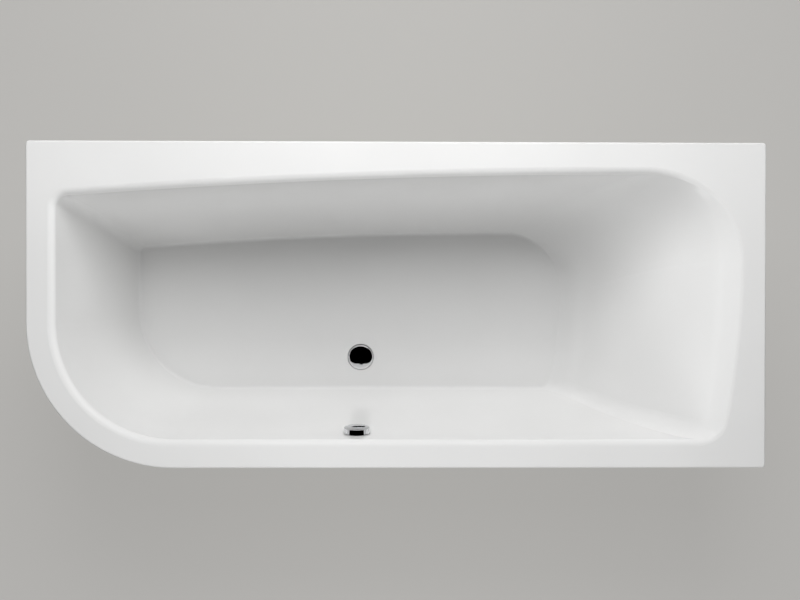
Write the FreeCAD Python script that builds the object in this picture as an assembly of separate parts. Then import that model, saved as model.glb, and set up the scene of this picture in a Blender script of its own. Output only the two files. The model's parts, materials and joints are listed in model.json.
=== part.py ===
import FreeCAD, Part
import math
import os

V = FreeCAD.Vector
RIGHT = V(1, 0, 0)
BACK = V(0, 1, 0)
UP = V(0, 0, 1)
DOWN = V(0, 0, -1)
FRONT = V(0, -1, 0)

# Overall rim of the tub, lengths in mm, angles in degrees
rim_length = 1700.0
rim_width = 750.0
rim_height = 600.0
rim_skirt = 40.0
rim_round_corner = 335.0
rim_tight_corner = 8.0
rim_edge_round = 4.5
lip_round = 16.0
acrylic = 5.0

# Flat rim left on each side of the well
rim_left = 64.0
rim_right = 54.0
rim_front = 64.0
rim_back = 71.0

# Well: height of its floor over the room's floor, and how far each wall leans in from the rim
floor_clearance = 180.0
well_spare = 3.0
lean_left = 98.0
lean_right = 364.0
lean_front = 80.0
lean_back = 116.0
well_back_angle = 4.5
well_right_angle = 11.0
well_corners_rim = (271.0, 50.0, 200.0, 28.0)
well_corners_floor = (205.0, 35.0, 165.0, 22.0)
depth_shares = (0.0, 0.015, 0.045, 0.1, 0.2, 0.4, 0.6, 0.76, 0.87, 0.94, 0.98, 1.0)
backrest_shares = (0.0, 0.037, 0.089, 0.151, 0.232, 0.394, 0.555, 0.684, 0.775, 0.861, 0.939, 1.0)
wall_top_share = 0.34
floor_round = 11.0
floor_fall = 5.0

# Glass-fibre backing and base board
backing = 3.0
backing_drop = 45.0
board_thickness = 16.0
board_inset_left = 68.0
board_inset_right = 52.0
board_inset_front = 36.0
board_inset_back = 48.0
board_corner = 60.0
board_notch = 140.0

# Waste hole, flange and plug
drain_off_middle = -95.0
drain_from_front = 85.0
flange_radius = 35.0
flange_thickness = 2.5
flange_edge = 1.0
recess_clearance = 0.5
neck_radius = 24.5
neck_wall = 3.0
neck_length = 21.0
seat_radius = 26.0
seat_depth = 4.5
hole_clearance = 1.5
flange_seal_inset = 1.0
hub_radius = 7.0
hub_height = 8.0
hub_lift = 3.0
spoke_width = 3.0
spoke_turn = 120.0
plug_radius = 33.5
plug_edge = 1.6
plug_gap = 0.6
plug_dome = 100.0
plug_edge_round = 0.8
plug_seal_depth = 3.5
plug_seal_gap = 0.3
plug_collar_radius = 8.0
plug_collar_height = 2.5
stem_radius = 4.0
stem_clearance = 0.08
stem_slack = 0.5

# Waste body with chamber, overflow inlet and dip tube
gasket = 3.0
gasket_radius = 42.0
body_flange_radius = 43.0
body_flange = 5.0
body_radius = 38.0
body_collar = 12.0
thread_clearance = 0.1
chamber_radius = 33.0
chamber_height = 26.0
body_floor = 4.0
inlet_above_floor = 13.0
inlet_reach = 34.0
stub_radius = 26.0
stub_length = 9.0
dip_radius = 21.0
dip_wall = 3.0
dip_end = 24.0

# Lift lever inside the waste body
lever_arm = 22.0
lever_thickness = 3.0
lever_width = 6.0
lever_hub_radius = 4.0
lever_hub_length = 8.0
lever_tail = 8.0
lever_height = 11.0
pin_radius = 1.5
pin_clearance = 0.05
ear_gap = 0.3
ear_thickness = 3.0
ear_width = 7.0
ear_top = 4.0

# Trap cup, its nut, its clean-out cap and the outlet
trap_seal = 2.5
trap_collar = 4.0
trap_neck_radius = 23.5
trap_neck = 6.5
trap_radius = 52.0
trap_wall = 3.0
trap_bottom = 26.0
trap_shoulder_round = 8.0
trap_nut_radius = 33.0
nut_clearance = 0.3
nut_lip = 3.0
nut_grip = 2.0
nut_grips = 12
cap_radius = 56.0
cap_bottom = 16.0
cap_floor = 3.0
cap_height = 18.0
outlet_height = 78.0
outlet_radius = 20.0
outlet_wall = 2.0
outlet_socket_end = 84.0
outlet_start = 56.0
outlet_length = 130.0
outlet_stop = 1.5
outlet_stop_width = 3.0
outlet_stop_gap = 0.5

# Slip joints: a pipe end in a socket, sealed by a ring under a hand nut
socket_wall = 4.5
socket_clearance = 0.3
socket_depth = 24.0
socket_floor = 3.0
pipe_insertion = 22.0
slip_ring = 3.0
slip_nut_wall = 9.0
slip_overlap = 12.0
slip_lip = 5.0
slip_grips = 10

# Overflow fitting through the front wall
overflow_drop = 75.0
overflow_hole = 24.0
rosette_radius = 27.5
rosette_thickness = 2.5
rosette_gasket = 2.0
rosette_sleeve = 22.5
rosette_sleeve_wall = 2.0
rosette_sleeve_length = 6.0
rosette_hub = 8.0
rosette_open_inner = 10.5
rosette_open_outer = 20.0
rosette_spoke = 9.0
knob_radius = 32.0
knob_wall = 2.0
knob_rear = 4.0
knob_front = 15.5
knob_dome = 160.0
knob_edge_round = 2.0
knob_boss = 7.0
knob_boss_end = 7.5
spindle_radius = 4.0
spindle_fit = 0.05
seat_below_wall = 7.4
seat_spot_radius = 38.0
rear_gasket_radius = 33.0
rear_gasket_bore = 24.5
overflow_flange_radius = 35.0
overflow_flange = 4.0
overflow_body_radius = 30.0
overflow_body_depth = 34.0
overflow_chamber = 26.0
overflow_rear_wall = 4.0
screw_spread = 15.0
screw_boss = 4.5
screw_boss_length = 10.0
screw_radius = 2.0
screw_head_radius = 3.8
screw_head = 2.2
screw_depth = 8.0
spout_radius = 12.5
spout_bore = 10.0
spout_offset = 18.0
spout_drop = 70.0
cover_radius = 28.0
cover_wall = 2.5
cover_depth = 16.0
drum_radius = 24.0
drum_width = 9.0
drum_gap = 1.5
drum_groove = 2.0
shoulder_radius = 6.0
shoulder_width = 1.0
clip_radius = 7.0
clip_width = 1.0

# Rigid overflow pipe
overflow_pipe_radius = 14.0
overflow_pipe_wall = 1.6
overflow_pipe_bend = 78.0

# Glands for the wire between the drum and the lift lever
wire_hole = 1.5
wire_offset = 20.0
wire_above_floor = 6.0
gland_radius = 5.0
gland_length = 16.0
gland_tip = 5.0
gland_step = 1.2
gland_bury = 12.0

# Cross rails, studs, nuts and feet
rail_inset_left = 150.0
rail_inset_right = 120.0
rail_inset_front = 85.0
rail_inset_back = 125.0
rail_width = 40.0
rail_height = 25.0
rail_metal = 2.5
rail_bend = 4.0
stud_inset = 25.0
stud_radius = 6.0
stud_top = 192.0
stud_bottom = 9.0
stud_hole_clearance = 0.5
stud_chamfer = 1.0
nut_flats = 19.0
nut_height = 10.0
nut_fit = 0.06
pad_radius = 25.0
pad_height = 22.0
pad_neck_radius = 11.0
pad_rim = 7.0
pad_socket_clearance = 0.1
sole_radius = 23.0
sole_thickness = 3.0
board_screw_radius = 2.5
board_screw_head = 4.8
board_screw_head_height = 3.0
board_screw_length = 14.0
board_screw_clearance = 0.1
board_screw_shares = (0.13, 0.33, 0.72, 0.91)

# Lengths used only while cutting
overrun = 20.0
touch = 0.01

# Levels worked out from the sizes above
half_length = rim_length / 2
half_width = rim_width / 2
floor_z = floor_clearance
well_depth = rim_height - floor_clearance
well_left = rim_left - half_length
well_right = half_length - rim_right
well_front = rim_front - half_width
well_back = half_width - rim_back
floor_front = well_front + lean_front
floor_back = well_back - lean_back
floor_slope_share = floor_fall / (floor_back - floor_front)
drain_x = drain_off_middle
drain_y = floor_front + drain_from_front
board_left = well_left + lean_left + board_inset_left
board_right = well_right - lean_right - board_inset_right
board_front = floor_front + board_inset_front
board_back = floor_back - board_inset_back
board_screw_places = [board_front + (board_back - board_front) * share for share in board_screw_shares]
rail_left_x = board_left + rail_inset_left
rail_right_x = board_right - rail_inset_right
rail_front = rail_inset_front - half_width
rail_back = half_width - rail_inset_back
backing_bottom = floor_z + (floor_front - drain_y) * floor_slope_share - acrylic - backing
recess_floor = backing_bottom + acrylic
board_bottom = backing_bottom - board_thickness
body_top = backing_bottom - gasket
chamber_top = body_top - body_collar
chamber_floor = chamber_top - chamber_height
body_bottom = chamber_floor - body_floor
inlet_z = chamber_floor + inlet_above_floor
stub_end = body_bottom - stub_length
collar_top = stub_end - trap_seal
collar_bottom = collar_top - trap_collar
cup_top = collar_bottom - trap_neck
lever_z = chamber_floor + lever_height
stem_bottom = lever_z + lever_thickness / 2 + stem_slack
rail_bottom = board_bottom - rail_height
overflow_z = rim_height - overflow_drop
rear_gasket_end = seat_below_wall + gasket
body_rear = rear_gasket_end + overflow_body_depth
spout_mouth = overflow_z - spout_drop
inlet_mouth = drain_y - body_radius - inlet_reach
wire_z = chamber_floor + wire_above_floor


def sine(angle):
    return math.sin(math.radians(angle))


def cosine(angle):
    return math.cos(math.radians(angle))


def placed(shape, base, axis):
    """Turns a shape built along +Z so that it stands at base and points along axis."""
    turn = FreeCAD.Placement(base, FreeCAD.Rotation(UP, axis))
    return shape.transformed(turn.toMatrix())


def rod(radius, low, high):
    return Part.makeCylinder(radius, high - low, V(0, 0, low))


def tube(outer, inner, low, high):
    return rod(outer, low, high).cut(rod(inner, low - overrun, high + overrun))


def turned(points):
    """Solid of revolution about Z from (radius, height) corners."""
    corners = [V(radius, 0, height) for radius, height in points]
    face = Part.Face(Part.makePolygon(corners + corners[:1]))
    return face.revolve(V(0, 0, 0), UP, 360)


def turned_edges(edges):
    return Part.Face(Part.Wire(edges)).revolve(V(0, 0, 0), UP, 360)


def block(x_low, x_high, y_low, y_high, z_low, z_high):
    return Part.makeBox(x_high - x_low, y_high - y_low, z_high - z_low, V(x_low, y_low, z_low))


def at_drain(shape):
    return shape.translated(V(drain_x, drain_y, 0))


def fused(shapes):
    return shapes[0].fuse(shapes[1:]).removeSplitter()


def grip_nut(radius, bore, low, high, grips):
    """Round nut body with hand-grip ribs along its side."""
    body = rod(radius - nut_grip / 2, low, high)
    ribs = []
    for number in range(grips):
        angle = 360.0 * number / grips
        spot = V(cosine(angle), sine(angle), 0) * (radius - nut_grip)
        rib = Part.makeCylinder(nut_grip, high - low, spot + V(0, 0, low))
        ribs.append(rib)
    return body.fuse(ribs).cut(rod(bore, low - overrun, high + overrun))


def route(points, bends):
    """Path of straight runs joined by tangent arcs, one bend radius for each inner corner."""
    edges = []
    here = points[0]
    for before, corner, after, bend in zip(points, points[1:], points[2:], bends):
        along = (corner - before).normalize()
        onward = (after - corner).normalize()
        turn = math.acos(max(-1.0, min(1.0, along.dot(onward))))
        reach = bend * math.tan(turn / 2)
        start = corner - along * reach
        end = corner + onward * reach
        inward = (onward - along).normalize()
        centre = corner + inward * (bend / math.cos(turn / 2))
        middle = centre - inward * bend
        edges.append(Part.LineSegment(here, start).toShape())
        edges.append(Part.Arc(start, middle, end).toShape())
        here = end
    edges.append(Part.LineSegment(here, points[-1]).toShape())
    return Part.Wire(edges)


def swept(path, radius):
    edge = path.OrderedEdges[0]
    start = edge.valueAt(edge.FirstParameter)
    heading = edge.tangentAt(edge.FirstParameter)
    ring = Part.Wire(Part.makeCircle(radius, start, heading))
    return path.makePipeShell([ring], True, True)


def rounded_plate(x_low, x_high, y_low, y_high, corners):
    """Outline with its own radius at each corner: front left, front right, back right, back left."""
    front_left, front_right, back_right, back_left = corners
    runs = (
        (V(x_low + front_left, y_low, 0), V(x_high - front_right, y_low, 0)),
        (V(x_high, y_low + front_right, 0), V(x_high, y_high - back_right, 0)),
        (V(x_high - back_right, y_high, 0), V(x_low + back_left, y_high, 0)),
        (V(x_low, y_high - back_left, 0), V(x_low, y_low + front_left, 0)),
    )
    radii = (front_right, back_right, back_left, front_left)
    edges = []
    for number, radius in enumerate(radii):
        start, end = runs[number]
        after = runs[(number + 1) % len(runs)][0]
        heading = (end - start).normalize()
        inward = UP.cross(heading)
        centre = end + inward * radius
        middle = centre + (heading - inward).normalize() * radius
        edges.append(Part.LineSegment(start, end).toShape())
        edges.append(Part.Arc(end, middle, after).toShape())
    return Part.Wire(edges)


def rim_outline(inset):
    corners = [rim_round_corner - inset] + [rim_tight_corner - inset] * 3
    x_end = half_length - inset
    y_end = half_width - inset
    return rounded_plate(-x_end, x_end, -y_end, y_end, corners)


# The well: one outline law at every level, so that neighbouring wall faces stay tangent


def well_outline(sides, corners, level):
    """Eight tangent edges: straight front and left sides, wide arcs at the back and the backrest."""
    left, right, front, back = sides
    left_front, right_front, right_back, left_back = corners
    right_start = 90.0 - well_right_angle
    back_end = 180.0 + well_back_angle
    right_span = back - front - right_back - right_front * (1 - cosine(right_start))
    right_arc = right_span / cosine(right_start)
    back_span = right - left - right_back - left_back * (1 - sine(well_back_angle))
    back_arc = back_span / sine(well_back_angle)
    front_run = right - left - left_front - right_front * sine(right_start)
    front_run -= right_arc * (1 - sine(right_start))
    left_run = back - front - back_arc * (1 - cosine(well_back_angle))
    left_run -= left_back * cosine(well_back_angle) + left_front
    steps = (
        (front_run, 0.0, 0.0),
        (right_front, 0.0, right_start),
        (right_arc, right_start, 90.0),
        (right_back, 90.0, 180.0),
        (back_arc, 180.0, back_end),
        (left_back, back_end, 270.0),
        (left_run, 270.0, 270.0),
        (left_front, 270.0, 360.0),
    )
    here = V(left + left_front, front, level)
    edges = []
    for size, heading, end_heading in steps:
        if heading == end_heading:
            there = here + V(cosine(heading), sine(heading), 0) * size
            edges.append(Part.LineSegment(here, there).toShape())
        else:
            middle_heading = (heading + end_heading) / 2
            middle = here + arc_step(size, heading, middle_heading)
            there = here + arc_step(size, heading, end_heading)
            edges.append(Part.Arc(here, middle, there).toShape())
        here = there
    return Part.Wire(edges)


def arc_step(radius, heading, end_heading):
    along = sine(end_heading) - sine(heading)
    across = cosine(heading) - cosine(end_heading)
    return V(along, across, 0) * radius


def well_section(depth_share, backrest_share, offset):
    lean_share = wall_top_share * depth_share + (1 - wall_top_share) * depth_share ** 2
    sides = (
        well_left + lean_left * lean_share - offset,
        well_right - lean_right * backrest_share + offset,
        well_front + lean_front * lean_share - offset,
        well_back - lean_back * lean_share + offset,
    )
    corners = []
    for at_rim, at_floor in zip(well_corners_rim, well_corners_floor):
        corners.append(at_rim + (at_floor - at_rim) * depth_share + offset)
    level = rim_height - (well_depth + well_spare + offset) * depth_share
    return well_outline(sides, corners, level)


def below_floor(drop, slope_share):
    """Everything under a floor plane that passes drop below the floor at the waste."""
    ends = (-rim_width, rim_width)
    x_end = -rim_length
    upper = []
    for y in ends:
        upper.append(V(x_end, y, floor_z - drop + (y - drain_y) * slope_share))
    lower = [V(x_end, ends[1], -overrun), V(x_end, ends[0], -overrun)]
    corners = upper + lower
    face = Part.Face(Part.makePolygon(corners + corners[:1]))
    return face.extrude(V(2 * rim_length, 0, 0))


def well_form(offset, drop, slope_share, edge_round):
    """The bathing well as a solid, grown outwards by offset, with a rounded floor edge."""
    sections = []
    for depth_share, backrest_share in zip(depth_shares, backrest_shares):
        sections.append(well_section(depth_share, backrest_share, offset))
    form = Part.makeLoft(sections, True, False).cut(below_floor(drop, slope_share))
    floor = min(form.Faces, key=lambda face: face.CenterOfMass.z)
    return form.makeFillet(edge_round, floor.Edges)


def tub_shell(well, outside):
    outline = Part.Face(rim_outline(0))
    block_low = rim_height - rim_skirt
    rim = outline.extrude(V(0, 0, rim_skirt)).translated(V(0, 0, block_low))
    top_edges = [edge for edge in rim.Edges if edge.BoundBox.ZMin > rim_height - touch]
    rim = rim.makeFillet(rim_edge_round, top_edges)
    hollow = Part.Face(rim_outline(acrylic)).extrude(V(0, 0, rim_skirt - acrylic + overrun))
    rim = rim.cut(hollow.translated(V(0, 0, block_low - overrun)))
    above = block(-rim_length, rim_length, -rim_width, rim_width, rim_height - acrylic / 2, 2 * rim_height)
    shell = rim.fuse(outside.cut(above)).removeSplitter()
    shell = shell.makeFillet(lip_round - acrylic, well_edges(shell, rim_height - acrylic))
    boss = rod(flange_radius + recess_clearance + acrylic, backing_bottom, floor_z)
    shell = shell.fuse(at_drain(boss)).cut(well)
    shell = shell.makeFillet(lip_round, well_edges(shell, rim_height))
    recess = rod(flange_radius + recess_clearance, recess_floor, floor_z + overrun)
    hole = rod(neck_radius + hole_clearance, backing_bottom - overrun, floor_z)
    return shell.cut(at_drain(recess.fuse(hole)))


def well_edges(shell, level):
    """Edges of the well's outline at one level, away from the outer rim."""
    outer = rim_outline(0).translated(V(0, 0, level))
    found = []
    for edge in shell.Edges:
        box = edge.BoundBox
        if abs(box.ZMin - level) < touch and abs(box.ZMax - level) < touch:
            if edge.distToShape(outer)[0] > rim_right / 2:
                found.append(edge)
    return found


def fibreglass_backing(outside):
    drop = floor_z - backing_bottom
    skin = well_form(acrylic + backing, drop, 0, floor_round + acrylic + backing)
    top = rim_height - backing_drop
    skin = skin.cut(block(-rim_length, rim_length, -rim_width, rim_width, top, 2 * rim_height))
    boss = rod(flange_radius + recess_clearance + acrylic, backing_bottom - overrun, floor_z)
    return skin.cut(outside).cut(at_drain(boss))


def base_board():
    outline = rounded_plate(board_left, board_right, board_front, board_back, [board_corner] * 4)
    board = Part.Face(outline).extrude(V(0, 0, board_thickness)).translated(V(0, 0, board_bottom))
    low = board_bottom - overrun
    high = backing_bottom + overrun
    notch = at_drain(rod(board_notch / 2, low, high))
    slot_end = drain_x + board_notch / 2
    slot = block(drain_x - board_notch / 2, slot_end, board_front - overrun, drain_y, low, high)
    holes = []
    for x in (rail_left_x, rail_right_x):
        for y in board_screw_places:
            hole = rod(board_screw_radius + board_screw_clearance, low, board_bottom + board_screw_length)
            holes.append(hole.translated(V(x, y, 0)))
    return board.cut(fused([notch, slot])).cut(holes)


# Support: cross rails with their screws, studs, nuts and feet


def stud_places(rail_x):
    return (V(rail_x, rail_front + stud_inset, 0), V(rail_x, rail_back - stud_inset, 0))


def cross_rail(rail_x):
    half = rail_width / 2
    rail = block(-half, half, rail_front, rail_back, rail_bottom, board_bottom)
    upper = []
    for edge in rail.Edges:
        if edge.BoundBox.ZMin > board_bottom - touch and edge.BoundBox.YLength > rail_width:
            upper.append(edge)
    rail = rail.makeFillet(rail_bend, upper)
    inner = half - rail_metal
    inside = block(-inner, inner, rail_front - overrun, rail_back + overrun,
                   rail_bottom - overrun, board_bottom - rail_metal)
    rail = rail.cut(inside).translated(V(rail_x, 0, 0))
    low = rail_bottom - overrun
    high = board_bottom + overrun
    holes = []
    for place in stud_places(rail_x):
        holes.append(rod(stud_radius + stud_hole_clearance, low, high).translated(place))
    for y in board_screw_places:
        hole = rod(board_screw_radius + board_screw_clearance, low, high)
        holes.append(hole.translated(V(rail_x, y, 0)))
    return rail.cut(holes)


def rail_screws():
    web = board_bottom - rail_metal
    screw = rod(board_screw_radius, web, board_bottom + board_screw_length)
    screw = screw.fuse(rod(board_screw_head, web - board_screw_head_height, web)).removeSplitter()
    rim = [edge for edge in screw.Edges if edge.BoundBox.ZMax < web - board_screw_head_height + touch]
    screw = screw.makeChamfer(board_screw_head_height / 3, rim)
    copies = []
    for x in (rail_left_x, rail_right_x):
        for y in board_screw_places:
            copies.append(screw.translated(V(x, y, 0)))
    return Part.Compound(copies)


def hexagon_nut(low):
    corner = nut_flats / 2 / cosine(30.0)
    points = []
    for number in range(6):
        angle = 60.0 * number
        points.append(V(corner * cosine(angle), corner * sine(angle), low))
    nut = Part.Face(Part.makePolygon(points + points[:1])).extrude(V(0, 0, nut_height))
    rounding = turned(((0, low), (nut_flats / 2, low), (corner, low + (corner - nut_flats / 2)),
                       (corner, low + nut_height - (corner - nut_flats / 2)),
                       (nut_flats / 2, low + nut_height), (0, low + nut_height)))
    return nut.common(rounding).cut(rod(stud_radius + nut_fit, low - overrun, low + nut_height + overrun))


def stud_nuts():
    nuts = []
    for rail_x in (rail_left_x, rail_right_x):
        for place in stud_places(rail_x):
            nuts.append(hexagon_nut(board_bottom).translated(place))
            nuts.append(hexagon_nut(board_bottom - rail_metal - nut_height).translated(place))
    return Part.Compound(nuts)


def stud():
    return turned(((0, stud_bottom), (stud_radius - stud_chamfer, stud_bottom),
                   (stud_radius, stud_bottom + stud_chamfer), (stud_radius, stud_top - stud_chamfer),
                   (stud_radius - stud_chamfer, stud_top), (0, stud_top)))


def foot_pad():
    pad = turned(((0, sole_thickness), (pad_radius, sole_thickness), (pad_radius, pad_rim),
                  (pad_neck_radius, pad_height - pad_rim / 2), (pad_neck_radius, pad_height), (0, pad_height)))
    return pad.cut(rod(stud_radius + pad_socket_clearance, stud_bottom, pad_height + overrun))


def foot_sole():
    return rod(sole_radius, 0, sole_thickness)


# Slip joints, built along +Z from the mouth of the socket


def slip_seal(pipe_radius):
    return tube(pipe_radius + socket_wall - nut_clearance, pipe_radius + nut_clearance / 2, 0, slip_ring)


def slip_nut(pipe_radius):
    high = slip_ring + slip_lip
    nut = grip_nut(pipe_radius + slip_nut_wall, pipe_radius + nut_clearance, -slip_overlap, high, slip_grips)
    return nut.cut(rod(pipe_radius + socket_wall + nut_clearance, -slip_overlap - overrun, slip_ring))


def pipe_passage(mouth):
    """Bore of an overflow socket whose mouth is at this height."""
    seat = mouth - socket_depth
    socket = rod(overflow_pipe_radius + socket_clearance, seat, mouth + overrun)
    return socket.fuse(rod(spout_bore, 0, seat + touch))


# Waste: flange, plug and lever


def waste_flange():
    under = floor_z - flange_thickness
    neck_bottom = under - neck_length
    bore = neck_radius - neck_wall
    flange = turned(((seat_radius, floor_z), (flange_radius - flange_edge, floor_z),
                     (flange_radius, floor_z - flange_edge), (flange_radius, under), (neck_radius, under),
                     (neck_radius, neck_bottom), (bore, neck_bottom), (bore, floor_z - seat_depth)))
    hub_bottom = neck_bottom + hub_lift
    parts = [flange, rod(hub_radius, hub_bottom, hub_bottom + hub_height)]
    for number in range(3):
        spoke = block(0, bore + neck_wall / 2, -spoke_width / 2, spoke_width / 2,
                      hub_bottom, hub_bottom + hub_height)
        parts.append(spoke.rotated(V(0, 0, 0), UP, spoke_turn * number))
    passage = rod(stem_radius + stem_clearance, hub_bottom - overrun, floor_z)
    return at_drain(fused(parts).cut(passage))


def flange_seal():
    outer = flange_radius - flange_seal_inset
    inner = neck_radius + hole_clearance / 2
    return at_drain(tube(outer, inner, recess_floor, floor_z - flange_thickness))


def waste_gasket():
    inner = neck_radius + hole_clearance / 2
    return at_drain(tube(gasket_radius, inner, body_top, backing_bottom))


def plug_cap():
    under = floor_z + plug_gap
    rise = plug_dome - math.sqrt(plug_dome ** 2 - plug_radius ** 2)
    edge_top = under + plug_edge
    crown = edge_top + rise
    half_radius = plug_radius / 2
    half_height = crown - plug_dome + math.sqrt(plug_dome ** 2 - half_radius ** 2)
    corners = (V(0, 0, under), V(plug_radius - plug_edge_round, 0, under),
               V(plug_radius, 0, under + plug_edge_round), V(plug_radius, 0, edge_top), V(0, 0, crown))
    edges = []
    for start, end in zip(corners[:3], corners[1:4]):
        edges.append(Part.LineSegment(start, end).toShape())
    edges.append(Part.Arc(corners[3], V(half_radius, 0, half_height), corners[4]).toShape())
    edges.append(Part.LineSegment(corners[4], corners[0]).toShape())
    return at_drain(turned_edges(edges))


def seat_at(z):
    bore = neck_radius - neck_wall
    return bore + (seat_radius - bore) * (z - floor_z + seat_depth) / seat_depth


def plug_seal():
    top = floor_z + plug_gap
    low = top - plug_seal_depth
    inner = stem_radius + stem_clearance
    wide = seat_at(floor_z) - plug_seal_gap
    narrow = seat_at(low) - plug_seal_gap
    return at_drain(turned(((inner, low), (narrow, low), (wide, floor_z), (wide, top), (inner, top))))


def plug_stem():
    top = floor_z + plug_gap
    seal_bottom = top - plug_seal_depth
    collar_low = seal_bottom - plug_collar_height
    return at_drain(turned(((0, stem_bottom), (stem_radius, stem_bottom), (stem_radius, collar_low),
                            (plug_collar_radius, collar_low), (plug_collar_radius, seal_bottom),
                            (stem_radius, seal_bottom), (stem_radius, top), (0, top))))


def along_y(radius, half_span):
    return placed(rod(radius, -half_span, half_span), V(drain_x + lever_arm, drain_y, lever_z), BACK)


def lift_lever():
    half = lever_thickness / 2
    side = lever_width / 2
    arm = block(-lever_arm, 0, -side, side, -half, half)
    tip = placed(rod(half, -side, side), V(-lever_arm, 0, 0), BACK)
    tail = block(-half, half, -side, side, -lever_tail, 0)
    hub = placed(rod(lever_hub_radius, -lever_hub_length / 2, lever_hub_length / 2), V(0, 0, 0), BACK)
    lever = fused([arm, tip, tail, hub]).translated(V(drain_x + lever_arm, drain_y, lever_z))
    return lever.cut(along_y(pin_radius + pin_clearance, lever_hub_length))


def lever_pin():
    return along_y(pin_radius, lever_hub_length / 2 + ear_gap + ear_thickness)


def lever_ears():
    ears = []
    start = lever_hub_length / 2 + ear_gap
    half = ear_width / 2
    for side in (-1, 1):
        near = sorted((side * start, side * (start + ear_thickness)))
        ears.append(block(lever_arm - half, lever_arm + half, near[0], near[1],
                          chamber_floor - body_floor / 2, lever_z + ear_top))
    return ears


def waste_body():
    parts = [rod(body_flange_radius, body_top - body_flange, body_top), rod(body_radius, body_bottom, body_top),
             rod(stub_radius, stub_end, body_bottom), rod(dip_radius, dip_end, stub_end)]
    reach = body_radius + inlet_reach
    inlet = placed(rod(overflow_pipe_radius + socket_wall, 0, reach), V(0, 0, inlet_z), FRONT)
    body = fused(parts + [inlet])
    body = body.cut(rod(chamber_radius, chamber_floor, chamber_top))
    body = body.cut(rod(neck_radius + thread_clearance, chamber_floor, body_top + overrun))
    body = body.cut(rod(dip_radius - dip_wall, dip_end - overrun, chamber_floor + overrun / 2))
    body = body.cut(placed(pipe_passage(reach), V(0, 0, inlet_z), FRONT))
    body = body.cut(placed(rod(wire_hole, 0, body_radius + overrun), V(0, 0, wire_z), RIGHT))
    body = fused([body] + lever_ears())
    pin_hole = placed(rod(pin_radius, -chamber_radius, chamber_radius), V(lever_arm, 0, lever_z), BACK)
    kept = block(0, chamber_radius, -chamber_radius / 2, chamber_radius / 2, chamber_floor, chamber_top)
    return at_drain(body.cut(pin_hole.common(kept)))


# Trap under the waste


def trap_seal_ring():
    return at_drain(tube(stub_radius - nut_clearance, dip_radius + nut_clearance, collar_top, stub_end))


def trap_cup():
    inner = dip_radius + socket_clearance
    cup = turned(((inner, collar_top), (stub_radius, collar_top), (stub_radius, collar_bottom),
                  (trap_neck_radius, collar_bottom), (trap_neck_radius, cup_top),
                  (trap_radius - trap_shoulder_round, cup_top),
                  (trap_radius, cup_top - trap_shoulder_round), (trap_radius, trap_bottom),
                  (trap_radius - trap_wall, trap_bottom),
                  (trap_radius - trap_wall, cup_top - trap_shoulder_round - trap_wall / 2),
                  (trap_radius - trap_shoulder_round - trap_wall / 2, cup_top - trap_wall),
                  (inner, cup_top - trap_wall)))
    socket_radius = outlet_radius + socket_wall
    hollow = rod(trap_radius - trap_wall, trap_bottom, outlet_height + socket_radius)
    socket = placed(rod(socket_radius, 0, outlet_socket_end), V(0, 0, outlet_height), BACK).cut(hollow)
    bore = placed(rod(outlet_radius + socket_clearance, outlet_start - touch, outlet_socket_end + overrun),
                  V(0, 0, outlet_height), BACK)
    passage = placed(rod(outlet_radius - outlet_wall, 0, outlet_start), V(0, 0, outlet_height), BACK)
    return at_drain(cup.fuse(socket).removeSplitter().cut(bore).cut(passage))


def trap_nut():
    low = collar_bottom - nut_lip
    high = body_bottom - nut_clearance - nut_lip / 2
    nut = grip_nut(trap_nut_radius, trap_neck_radius + nut_clearance, low, high, nut_grips)
    return at_drain(nut.cut(rod(stub_radius + nut_clearance, collar_bottom, high + overrun)))


def clean_out_cap():
    cap = grip_nut(cap_radius, trap_radius + nut_clearance, trap_bottom, cap_bottom + cap_height, nut_grips * 2)
    base = grip_nut(cap_radius, touch, cap_bottom, trap_bottom, nut_grips * 2)
    base = base.fuse(rod(nut_grip, cap_bottom, trap_bottom))
    dish = rod(trap_radius - trap_wall, cap_bottom + cap_floor, trap_bottom + overrun)
    return at_drain(cap.fuse(base).removeSplitter().cut(dish))


def outlet_spot(distance):
    return V(drain_x, drain_y + distance, outlet_height)


def outlet_pipe():
    nut_end = outlet_socket_end + slip_ring + slip_lip - outlet_start
    stop_low = nut_end + outlet_stop_gap
    stop_high = stop_low + outlet_stop_width
    bore = outlet_radius - outlet_wall
    rim = outlet_radius + outlet_stop
    pipe = turned(((bore, 0), (outlet_radius, 0), (outlet_radius, stop_low), (rim, stop_low), (rim, stop_high),
                   (outlet_radius, stop_high), (outlet_radius, outlet_length), (bore, outlet_length)))
    return placed(pipe, outlet_spot(outlet_start), BACK)


# Overflow: every piece stands along the normal of the front wall


def front_wall_y(well, z):
    probe = Part.makeLine(V(drain_x, 0, z), V(drain_x, -rim_width, z))
    return probe.common(well).BoundBox.YMin


def overflow_axis(well):
    """Place on the front wall and the direction into the tub."""
    here = V(drain_x, front_wall_y(well, overflow_z), overflow_z)
    step = rosette_radius
    rise = front_wall_y(well, overflow_z - step) - front_wall_y(well, overflow_z + step)
    tilt = math.atan2(rise, 2 * step)
    return here, V(0, math.cos(tilt), math.sin(tilt))


def front_gasket(shell, spot):
    ring = tube(rosette_radius, overflow_hole + hole_clearance / 2, -acrylic / 2, rosette_gasket)
    return max(placed(ring, *spot).cut(shell).Solids, key=lambda solid: solid.CenterOfMass.y)


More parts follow.
